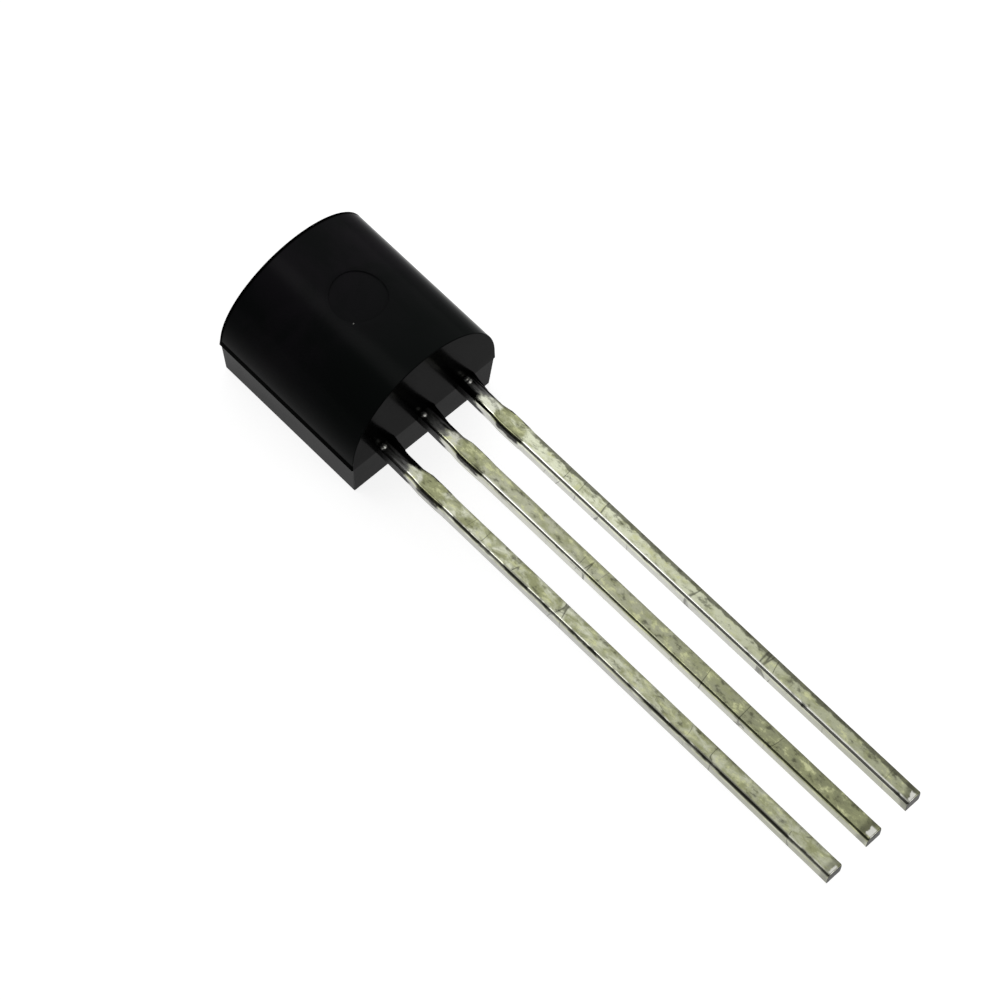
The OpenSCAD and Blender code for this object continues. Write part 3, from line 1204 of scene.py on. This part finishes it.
@dataclass
class Lead:
    """One lead of the frame, stamped from strip, from its tip to its post or paddle."""

    node: str
    inner_end: InnerEnd
    lean: float                                  # which way the post leans: +1, -1, or 0
    pattern_shift_mm: float                      # so that no two leads are mottled alike
    tin: Rgb                                     # its untarnished colour
    side_tin: Rgb                                # the colour of its sides
    dulling: float                               # how dull it grows towards its tip, 0 to 1
    resin_and_shade_reach: float                           # how far the bled epoxy and painted shade reach, in mm
    smear_mm: tuple[float, float]                # between which places across it is thin
    edge_round: float                            # the -Y upper edge's radius
    edge_highlight: float                            # how strong the painted highlight along that edge is, 0 to 1
    edge_clean: float                            # how much of it is free of the darker patches
    highlight_until: float                           # where along the lead its painted highlight ends, in mm
    tip_highlight_mm: tuple[float, float]             # where, before the tip, the painted highlight lies
    tip_slant: float                             # how far the painted highlight slants
    bright_share: float                          # how much of the tin has kept its brightness
    far_edge_darkness: float                            # how dark the +Y edge's band is, 0 to 1
    beads_mm: tuple[tuple[float, float], ...]    # where small tin beads sit on the root
    pitch: float = 1.27 * MM
    width: float = 0.45 * MM
    neck_width: float = 0.40 * MM
    neck_blank: float = 0.3 * MM                 # where the block that all grows from ends
    flare: float = 0.24 * MM
    stub_start: float = 1.36 * MM
    stub_width: float = 0.48 * MM
    stub_length: float = 0.70 * MM
    stub_level: tuple[float, float] = (0.04 * MM, 0.35 * MM)      # its full width, from its start
    stub_taper: float = 0.05 * MM                # how far before its end it is narrower
    stub_end_half: float = 0.485                 # its half width there, in its widths
    shoulder: float = 0.10 * MM
    step: float = 0.02 * MM                      # run of the slope where the outline steps
    square_until: float = -0.30 * MM             # inside the body the frame keeps square edges
    edge_segments: int = 7
    far_edge_round: float = 0.045 * MM           # the +Y upper edge
    far_edge_segments: int = 4
    burr_round: float = 0.035 * MM               # the lower edges
    burr_segments: int = 3
    roll_over: float = 0.030 * MM                # the tip's upper edge
    roll_segments: int = 4
    sheared_shift: float = -0.012 * MM           # how far the dam bar's shearing moved the metal
    barb_x: float = -0.75 * MM
    barb_base: float = 0.40 * MM
    barb_tip: float = 0.20 * MM
    barb_width: float = 0.84 * MM
    post_start: float = -1.70 * MM
    post_width: float = 0.70 * MM
    post_offset: float = 0.13 * MM
    paddle_start: float = -2.10 * MM
    paddle_width: float = 1.60 * MM
    corner_round: float = 0.10 * MM
    corner_segments: int = 4
    wave_length: float = 0.9 * MM
    wave_height: float = 0.006 * MM
    wave_octaves: int = 2
    rings: int = 80
    flash_width: float = 0.110 * MM
    flash_height: float = 0.13 * MM
    flash_length: float = 0.68 * MM
    flash_overlap: float = 0.04 * MM             # how far it reaches into the neck and body
    flash_taper: Point = (1.0, 0.40, 0.5)
    flash_cuts: int = 9
    flash_roughness: float = 0.012 * MM
    flash_seed: int = 5
    flash_seed_step: int = 3                     # from one lead's to the next one's
    smooth_deg: float = 35.0

    def __post_init__(self) -> None:
        """Takes the lead's thickness and ends from its CAD node, and its place from its lean."""
        low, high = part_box(self.node)
        self.centre_y = self.lean * self.pitch
        self.half_thick = high.z
        self.tip = high.x
        self.inner_tip = low.x

    def outer_outline(self) -> list[Station]:
        """Gives the outline outside the body, as stations.

        Returns:
            The stations, from the neck to the tip.
        """
        y, half_stub = self.centre_y, self.stub_width / 2
        stub_end = self.stub_start + self.stub_length
        level_start, level_end = (self.stub_start + off for off in self.stub_level)
        return [(self.stub_start - self.flare, self.neck_width / 2, y + self.sheared_shift),
                (level_start, half_stub, y),
                (level_end, half_stub, y),
                (stub_end - self.stub_taper, self.stub_end_half * self.stub_width, y),
                (stub_end + self.shoulder, self.width / 2, y),
                (self.tip, self.width / 2, y)]

    def inner_outline(self) -> list[Station]:
        """Gives the outline inside the body, from the neck inwards, as stations.

        Returns:
            The stations.
        """
        y = self.centre_y
        neck = self.neck_width / 2
        barb = self.barb_width / 2
        stations = [(self.barb_x + self.barb_base / 2, neck, y),
                    (self.barb_x + self.barb_tip / 2, barb, y),
                    (self.barb_x - self.barb_tip / 2, barb, y),
                    (self.barb_x - self.barb_base / 2, neck, y)]
        if self.inner_end is InnerEnd.BOND_POST:
            start, half = self.post_start, self.post_width / 2
            end_y = y + self.lean * self.post_offset
        else:
            start, half, end_y = self.paddle_start, self.paddle_width / 2, y
        return stations + [(start + self.step, neck, y), (start, half, end_y),
                           (self.inner_tip, half, end_y)]

    def draw_out(self, stations: Sequence[Station], x: float) -> None:
        """Extrudes the selected end face through stations.

        Args:
            stations: The stations.
            x: Where the end face is.
        """
        half, y = self.neck_width / 2, self.centre_y
        for next_x, next_half, next_y in stations:
            extrude((next_x - x, next_y - y, 0.0))
            bpy.ops.transform.resize(value=(1.0, next_half / half, 1.0),
                                     center_override=(next_x, next_y, 0.0))
            x, half, y = next_x, next_half, next_y

    def build(self) -> Obj:
        """Models the lead.

        Returns:
            The lead's mesh object.
        """
        half, y, t = self.neck_width / 2, self.centre_y, self.half_thick
        piece = add_block(f"{self.node}_tinned", (self.square_until, y - half, -t),
                          (self.neck_blank, y + half, t))
        with edit_mode():
            pick(piece, Element.FACE, lambda c, n: n.x > FOLLOWS)
            self.draw_out(self.outer_outline(), self.neck_blank)
            pick(piece, Element.FACE, lambda c, n: n.x < -FOLLOWS)
            self.draw_out(self.inner_outline(), self.square_until)
            self._round_inner_corners(piece)
            self._round_long_edges(piece)
            self._roll_tip(piece)
            self._cut_rings(piece)
            face_outwards()
        self._make_wavy(piece)
        combine(piece, self._flash(), Joining.ADD)
        smooth(piece, self.smooth_deg)
        return piece

    def _round_inner_corners(self, piece: Obj) -> None:
        """Rounds the stamped corners at the end of the post or paddle.

        Args:
            piece: The lead, in edit mode.
        """
        pick(piece, Element.EDGE,
             lambda m, d: abs(d.z) > FOLLOWS and abs(m.x - self.inner_tip) < ON_PLANE)
        bevel(self.corner_round, self.corner_segments)

    def _round_long_edges(self, piece: Obj) -> None:
        """Rounds the long edges outside the body, each kind in turn.

        Args:
            piece: The lead, in edit mode.
        """
        high, low = self.half_thick - NEAR, NEAR - self.half_thick
        most_across, most_upright, off = 0.5, 0.995, 0.4 * self.neck_width
        for which, radius, segments in (
                (lambda y, z: z > high and y < -off, self.edge_round, self.edge_segments),
                (lambda y, z: z > high and y > off, self.far_edge_round,
                 self.far_edge_segments),
                (lambda y, z: z < low and abs(y) > off, self.burr_round, self.burr_segments)):
            pick(piece, Element.EDGE, lambda m, d: m.x > self.square_until
                 and abs(d.y) < most_across and abs(d.z) < most_upright
                 and which(m.y - self.centre_y, m.z))
            bevel(radius, segments)

    def _roll_tip(self, piece: Obj) -> None:
        """Rolls the tip's upper edge over, as the cutting die does.

        Args:
            piece: The lead, in edit mode.
        """
        pick(piece, Element.EDGE, lambda m, d: abs(m.x - self.tip) < NEAR and abs(d.x) < CROSSES
             and m.z > self.half_thick - (self.edge_round if m.y < self.centre_y else
                                          self.far_edge_round))
        bevel(self.roll_over, self.roll_segments)

    def _cut_rings(self, piece: Obj) -> None:
        """Cuts rings round the shank, so that its faces can wave a little.

        Args:
            piece: The lead, in edit mode.
        """
        low = self.stub_start + self.stub_length + self.shoulder
        middle_x = (low + self.tip) / 2
        pick(piece, Element.EDGE,
             lambda m, d: abs(d.x) > FOLLOWS and abs(m.x - middle_x) < self.roll_over)
        bpy.ops.mesh.subdivide(number_cuts=self.rings)

    def _flash(self) -> Obj:
        """Models the ragged fin of epoxy that stays on the +Y side of the neck.

        Returns:
            The fin.
        """
        side = self.centre_y + self.neck_width / 2
        inner = side - self.flash_overlap
        fin = add_block("flash", (-self.flash_overlap, inner, -self.flash_height),
                        (self.flash_length, side + self.flash_width, self.flash_height))
        with edit_mode():
            pick(fin, Element.FACE, lambda c, n: n.x > FOLLOWS)
            bpy.ops.transform.resize(value=self.flash_taper,
                                     center_override=(self.flash_length, inner, 0.0))
            pick(fin, Element.EDGE, lambda m, d: abs(d.x) > FOLLOWS)
            bpy.ops.mesh.subdivide(number_cuts=self.flash_cuts)
            pick(fin, Element.VERT, lambda v: v.x > self.flash_overlap and v.y > side)
            roughen(self.flash_roughness,
                    seed=int(self.flash_seed + self.flash_seed_step * self.lean))
            face_outwards()
        return fin

    def _make_wavy(self, piece: Obj) -> None:
        """Sinks the lead's faces slightly here and there, never outwards.

        Args:
            piece: The lead.
        """
        ripple = bpy.data.textures.new(f"{self.node}_ripple", "CLOUDS")
        ripple.noise_scale = self.wave_length
        ripple.noise_depth = self.wave_octaves
        outside = piece.vertex_groups.new(name="outside")
        low = self.stub_start + self.stub_length
        outside.add([v.index for v in piece.data.vertices
                     if low < v.co.x < self.tip - self.roll_over], 1.0, "REPLACE")
        take_up(piece)
        apply_modifier(piece, "DISPLACE", texture=ripple, texture_coords="LOCAL",
                       vertex_group=outside.name, mid_level=1.0, strength=self.wave_height)
        piece.vertex_groups.clear()


# ---- Moulded body ---------------------------------------------------------------------------


@dataclass
class MouldedBody:
    """The epoxy body: a round half and a flat half, moulded round the lead frame."""

    node: str = "moulded_body"
    crown_rise: float = 0.22 * MM
    side_draft: float = 4.0                      # the drafts are in degrees
    top_draft: float = 3.5
    lead_draft: float = 1.0
    flat_side_draft: float = 4.5
    flat_top_draft: float = 2.5
    flat_lead_draft: float = 0.5
    parting_step: float = 0.03 * MM
    lead_step: float = 0.01 * MM
    root: float = 0.02 * MM                      # how far the flat half reaches into the round one
    arc_points: int = 256
    past: float = 1.0 * MM                       # how far a blank runs past the finished face
    corner_round: float = 0.020 * MM
    corner_segments: int = 3
    ejector_radius: float = 0.70 * MM
    ejector_depth: float = 0.03 * MM
    ejector_points: int = 96
    gate_proud: float = 0.04 * MM
    gate_width: float = 0.80 * MM
    gate_height: float = 0.30 * MM
    gate_length: float = 0.2 * MM                # most of it inside the body
    gate_cuts: int = 6
    gate_roughness: float = 0.010 * MM
    gate_seed: int = 3
    smooth_deg: float = 32.0

    def __post_init__(self) -> None:
        """Takes the body's overall sizes from its CAD node."""
        low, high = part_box(self.node)
        self.half_width = high.y
        self.height = -low.x - self.gate_proud
        self.depth = -low.z
        self.crest = high.z
        draft = math.radians(self.side_draft)
        self.crown_radius = self.crest - self.crown_rise
        self.tangent_y = self.crown_radius * math.cos(draft)
        self.tangent_z = self.crown_rise + self.crown_radius * math.sin(draft)

    def build(self, leads: Sequence[Obj], sealed: Sequence[str]) -> Obj:
        """Models the body.

        Args:
            leads: The finished leads, whose shapes the epoxy closes round.
            sealed: The CAD nodes sealed inside.

        Returns:
            The body's mesh object.
        """
        body = self._round_half()
        combine(body, self._flat_half(), Joining.ADD)
        combine(body, self._gate(), Joining.ADD)
        combine(body, self._ejector_pin(), Joining.CUT)
        for lead in leads:
            combine(body, copy_of(lead, "frame_pocket"), Joining.CUT)
        for node in sealed:
            combine(body, copy_of(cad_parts[node], "sealed_pocket"), Joining.CUT)
        body.name = body.data.name = f"{self.node}_epoxy"
        smooth(body, self.smooth_deg)
        return body

    def _round_half(self) -> Obj:
        """Models the crown: an arc run tangent into its walls, drawn along and cut to draft.

        Returns:
            The round half.
        """
        deselect_all()
        start = -self.height - self.past
        bpy.ops.mesh.primitive_circle_add(vertices=self.arc_points, radius=self.crown_radius,
                                          fill_type="NOTHING", rotation=(0, math.pi / 2, 0),
                                          location=(start, 0, self.crown_rise))
        half = placed("round_half")
        lead_slope, top_slope = (math.tan(math.radians(draft))
                                 for draft in (self.lead_draft, self.top_draft))
        ends = (((0, 0, 0), (1, 0, lead_slope)), ((-self.height, 0, 0), (-1, 0, top_slope)))
        with edit_mode():
            bpy.ops.mesh.select_all(action="SELECT")
            bpy.ops.mesh.bisect(plane_co=(0, 0, self.tangent_z), plane_no=(0, 0, 1),
                                clear_inner=True, threshold=SHARP)
            run = self.half_width - self.tangent_y
            for side in (1, -1):
                pick(half, Element.VERT,
                     lambda v: v.y * side > 0 and abs(v.z - self.tangent_z) < NEAR)
                extrude((0, side * run, -self.tangent_z))
            pick(half, Element.VERT, lambda v: abs(v.z) < NEAR)
            bpy.ops.mesh.edge_face_add()
            bpy.ops.mesh.select_all(action="SELECT")
            bpy.ops.mesh.edge_face_add()
            extrude((self.height + 2 * self.past, 0, 0))
            for end in ends:
                cut_off(*end)
            for end in ends:
                self._round_rim(half, *end)
            face_outwards()
        return half

    def _round_rim(self, half: Obj, point: Point, outward: Point) -> None:
        """Rounds the rim of one end of the round half.

        Args:
            half: The round half, in edit mode.
            point: A point of the end face.
            outward: The end face's normal.
        """
        normal = Vector(outward).normalized()
        pick(half, Element.EDGE, lambda m, d: abs((m - Vector(point)).dot(normal)) < NEAR
             and abs(d.dot(normal)) < CROSSES and m.z > NEAR)
        bevel(self.corner_round, self.corner_segments)

    def _flat_half(self) -> Obj:
        """Models the flat half: a block with four drafted walls and rounded lower edges.

        Returns:
            The flat half.
        """
        side, top, lead = (math.tan(math.radians(draft)) for draft in (
            self.flat_side_draft, self.flat_top_draft, self.flat_lead_draft))
        y = self.half_width - self.parting_step
        past = self.past
        half = add_block("flat_half", (-self.height - past, -y - past, -self.depth),
                         (past, y + past, self.root))
        with edit_mode():
            for way in (1, -1):
                cut_off((0, way * y, 0), (0, way, -side))
            cut_off((self.parting_step - self.height, 0, 0), (-1, 0, -top))
            cut_off((-self.lead_step, 0, 0), (1, 0, -lead))
            pick(half, Element.EDGE,
                 lambda m, d: abs(d.z) > FOLLOWS or m.z < -self.depth + ON_PLANE)
            bevel(self.corner_round, self.corner_segments)
            face_outwards()
        return half

    def _gate(self) -> Obj:
        """Models what is left of the gate: a short bar with a broken, uneven face.

        Returns:
            The gate.
        """
        rear = -self.height - self.gate_proud
        gate = add_block("gate", (rear, -self.gate_width / 2, -self.gate_height),
                         (rear + self.gate_length, self.gate_width / 2, 0.0))
        with edit_mode():
            pick(gate, Element.FACE, lambda c, n: n.x < -FOLLOWS)
            bpy.ops.mesh.subdivide(number_cuts=self.gate_cuts)
            pick(gate, Element.VERT, lambda v: abs(v.x - rear) < ON_PLANE)
            bpy.ops.transform.translate(value=(self.gate_roughness, 0, 0))
            roughen(self.gate_roughness, self.gate_seed)
        return gate

    def _ejector_pin(self) -> Obj:
        """Models the pin's end as a cutter that leaves a shallow disc of even depth.

        Returns:
            The cutter.
        """
        deselect_all()
        bpy.ops.mesh.primitive_cylinder_add(
            vertices=self.ejector_points, radius=self.ejector_radius,
            depth=2 * self.ejector_radius, location=(-self.height / 2, 0, self.crest))
        pin = placed("ejector_pin")
        deselect_all()
        bpy.ops.mesh.primitive_cylinder_add(
            vertices=self.arc_points * 2, radius=self.crown_radius - self.ejector_depth,
            depth=self.height, rotation=(0, math.pi / 2, 0),
            location=(-self.height / 2, 0, self.crown_rise))
        core = placed("crown_core")
        combine(pin, core, Joining.CUT)
        return pin


# ---- Studio ---------------------------------------------------------------------------------


@dataclass(frozen=True)
class Softbox:
    """A soft square lamp, placed by the way it lies from the part."""

    name: str
    way: Point
    size: float
    distance: float
    radiance: float

    def hang(self, aim: Vector) -> None:
        """Hangs the lamp.

        Args:
            aim: The point that it faces.
        """
        lamp = bpy.data.lights.new(self.name, "AREA")
        lamp.shape = "SQUARE"
        lamp.size = self.size
        lamp.energy = self.radiance * math.pi * self.size ** 2
        holder = bpy.data.objects.new(self.name, lamp)
        way = Vector(self.way).normalized()
        holder.location = aim + way * self.distance
        holder.rotation_euler = (-way).to_track_quat("-Z", "Y").to_euler()
        bpy.context.scene.collection.objects.link(holder)


@dataclass
class Studio:
    """The pale floor, the soft lamps, the sky and the camera."""

    white: Rgb = (1.0, 1.0, 1.0)
    floor_albedo: float = 0.44
    floor_glow: float = 0.86
    floor_steep: Stops = (0.25, 0.75, 1.0, 0.25)         # its share in reflections, by slant
    floor_size: float = 1.2
    sky_low: float = 0.10
    sky_high: float = 0.85
    sky_rise: tuple[float, float] = (-0.50, -0.25)       # where between them, along Y
    sky_front: float = 0.06                      # the sky's share above the leads
    sky_front_from: tuple[float, float] = (-0.18, 0.06)  # where it falls to that, along X
    sky_far_front: float = 0.50                  # the same lower down, past their tips
    sky_far_from: tuple[float, float] = (0.46, 0.62)
    lens: float = 127.78                         # the lens and the sensor are in millimetres
    sensor: float = 36.0
    clip: tuple[float, float] = (1 * MM, 10.0)
    azimuth: float = 41.30                       # the camera's angles are in degrees
    elevation: float = 61.58
    roll: float = 5.68
    distance: float = 81.82 * MM
    target: Point = (2.836 * MM, -0.269 * MM, 0.0)
    lamps: tuple[Softbox, ...] = (
        Softbox("overhead", (-0.34, -0.26, 0.90), 0.038, 0.120, 1.6),
        Softbox("front", (0.87, 0.35, 0.34), 0.072, 0.120, 1.5),
    )

    def set_up(self, floor_z: float) -> None:
        """Builds the studio.

        Args:
            floor_z: The height of the floor.
        """
        self._lay_floor(floor_z)
        self._light_sky()
        for lamp in self.lamps:
            lamp.hang(Vector(self.target))
        self._set_camera()
        bpy.context.scene.view_settings.view_transform = "Standard"

    def _lay_floor(self, floor_z: float) -> None:
        """Lays the floor, which glows white for the camera and in reflections.

        Args:
            floor_z: The height of the floor.
        """
        deselect_all()
        bpy.ops.mesh.primitive_plane_add(size=self.floor_size, location=(0, 0, floor_z))
        floor = placed("floor")
        material = bpy.data.materials.new("floor")
        material.use_nodes = True
        shade = Shade(material.node_tree)
        shade.tree.nodes.clear()
        paper = shade.node("ShaderNodeBsdfDiffuse", Color=(self.floor_albedo,) * 3)
        path = shade.node("ShaderNodeLightPath").outputs
        facing = shade.node("ShaderNodeLayerWeight", Blend=0.5).outputs["Facing"]
        glossy = shade.product(shade.ramp(facing, *self.floor_steep), path["Is Glossy Ray"])
        seen = shade.highest(path["Is Camera Ray"], glossy, path["Is Transmission Ray"])
        glow = shade.node("ShaderNodeEmission", Color=self.white,
                          Strength=shade.product(seen, self.floor_glow))
        both = shade.node("ShaderNodeAddShader")
        for socket, part in zip(both.inputs, (paper, glow)):
            shade.feed(socket, part.outputs[0])
        shade.node("ShaderNodeOutputMaterial", Surface=both.outputs[0])
        floor.data.materials.append(material)

    def _light_sky(self) -> None:
        """Lights the sky: white behind the object, dimmer for everything that lights it."""
        world = bpy.data.worlds.new("sky")
        bpy.context.scene.world = world
        world.use_nodes = True
        shade = Shade(world.node_tree)
        shade.tree.nodes.clear()
        way = shade.node("ShaderNodeTexCoord").outputs["Generated"]
        cut = shade.node("ShaderNodeSeparateXYZ", Vector=way).outputs
        level = shade.ramp(cut["Y"], *self.sky_rise, self.sky_low, self.sky_high)
        front = shade.highest(
            shade.ramp(cut["X"], *self.sky_front_from, 1.0, self.sky_front),
            shade.ramp(cut["X"], *self.sky_far_from, 0.0, self.sky_far_front))
        path = shade.node("ShaderNodeLightPath").outputs
        level = shade.highest(shade.product(level, front), path["Is Camera Ray"])
        sky = shade.node("ShaderNodeBackground", Color=self.white, Strength=level)
        shade.node("ShaderNodeOutputWorld", Surface=sky.outputs[0])

    def _set_camera(self) -> None:
        """Sets the camera."""
        data = bpy.data.cameras.new("camera")
        data.lens = self.lens
        data.sensor_width = self.sensor
        data.clip_start, data.clip_end = self.clip
        camera = bpy.data.objects.new("camera", data)
        a, e = math.radians(self.azimuth), math.radians(self.elevation)
        back = Vector((math.sin(a) * math.cos(e), -math.cos(a) * math.cos(e), math.sin(e)))
        right = Vector((math.cos(a), math.sin(a), 0.0))
        turn = Matrix((right, back.cross(right), back)).transposed()
        roll = Matrix.Rotation(math.radians(self.roll), 3, back)
        camera.matrix_world = (roll @ turn).to_4x4()
        camera.location = Vector(self.target) + back * self.distance
        bpy.context.scene.collection.objects.link(camera)
        bpy.context.scene.camera = camera


# ---- Assembly -------------------------------------------------------------------------------


@dataclass
class Transistor:
    """The whole part: leads first, then the body closed round them, then the sealed pieces."""

    effects: Effects
    leads: tuple[Lead, ...] = (
        Lead("emitter_lead", InnerEnd.BOND_POST, 1.0, 3.1,
             tin=(0.87, 0.90, 0.68), side_tin=(0.54, 0.54, 0.51), dulling=0.72,
             resin_and_shade_reach=0.60, smear_mm=(-0.03, 0.11), edge_round=0.090 * MM, edge_highlight=0.9,
             edge_clean=0.58, highlight_until=14.3, tip_highlight_mm=(0.11, 0.02), tip_slant=0.4,
             bright_share=0.59, far_edge_darkness=1.0, beads_mm=((0.05, 0.03), (0.125, 0.03))),
        Lead("collector_lead", InnerEnd.DIE_PADDLE, 0.0, 11.7,
             tin=(0.53, 0.54, 0.40), side_tin=(0.58, 0.58, 0.53), dulling=0.95,
             resin_and_shade_reach=0.74, smear_mm=(-0.17, 0.09), edge_round=0.075 * MM, edge_highlight=0.8,
             edge_clean=0.60, highlight_until=5.3, tip_highlight_mm=(0.16, 0.03), tip_slant=0.1,
             bright_share=0.56, far_edge_darkness=0.1, beads_mm=((0.07, -0.10),)),
        Lead("base_lead", InnerEnd.BOND_POST, -1.0, 23.4,
             tin=(0.78, 0.80, 0.63), side_tin=(0.42, 0.42, 0.40), dulling=0.42,
             resin_and_shade_reach=0.88, smear_mm=(-0.19, 0.02), edge_round=0.095 * MM, edge_highlight=0.5,
             edge_clean=0.46, highlight_until=14.3, tip_highlight_mm=(0.06, 0.02), tip_slant=0.0,
             bright_share=0.48, far_edge_darkness=0.2, beads_mm=((0.07, -0.10),)),
    )

    def build(self) -> None:
        """Models and dresses every piece."""
        tinned = TinnedFinish()
        made = []
        for lead in self.leads:
            piece = lead.build()
            piece.data.materials.append(tinned.make(self.effects, f"{lead.node}_tin", lead))
            self.seat(piece, lead.node, "tinned_lead")
            made.append(piece)
        sealed = {"silicon_die": SILICON, "die_attach": SOLDER,
                  "emitter_bond_wire": GOLD_WIRE, "base_bond_wire": GOLD_WIRE}
        moulding = MouldedBody()
        body = moulding.build(made, list(sealed))
        body.data.materials.clear()
        body.data.materials.append(EpoxyFinish().make(self.effects, moulding))
        self.seat(body, "moulded_body", "epoxy")
        finishes: dict[str, bpy.types.Material] = {}
        for node, finish in sealed.items():
            if finish.name not in finishes:
                finishes[finish.name] = finish.make(self.effects)
            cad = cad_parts[node]
            for slot in cad.material_slots:
                slot.material = finishes[finish.name]
            log.info("%s: CAD node in %s", node, finish.name)

    @staticmethod
    def seat(piece: Obj, node: str, slot: str) -> None:
        """Puts a piece on the part's body in place of its CAD node.

        Args:
            piece: The finished piece.
            node: The CAD node that it stands for.
            slot: The record's material slot; not used.
        """
        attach(piece, "root")
        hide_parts(node)
        log.info("%s: %d faces, for %s", piece.name, len(piece.data.polygons), node)


def main() -> None:
    """Builds the part and its studio."""
    logging.basicConfig(level=logging.INFO, format="%(name)s: %(message)s")
    Transistor(Effects()).build()
    Studio().set_up(cad_box[0].z)


if __name__ == "__main__":
    main()
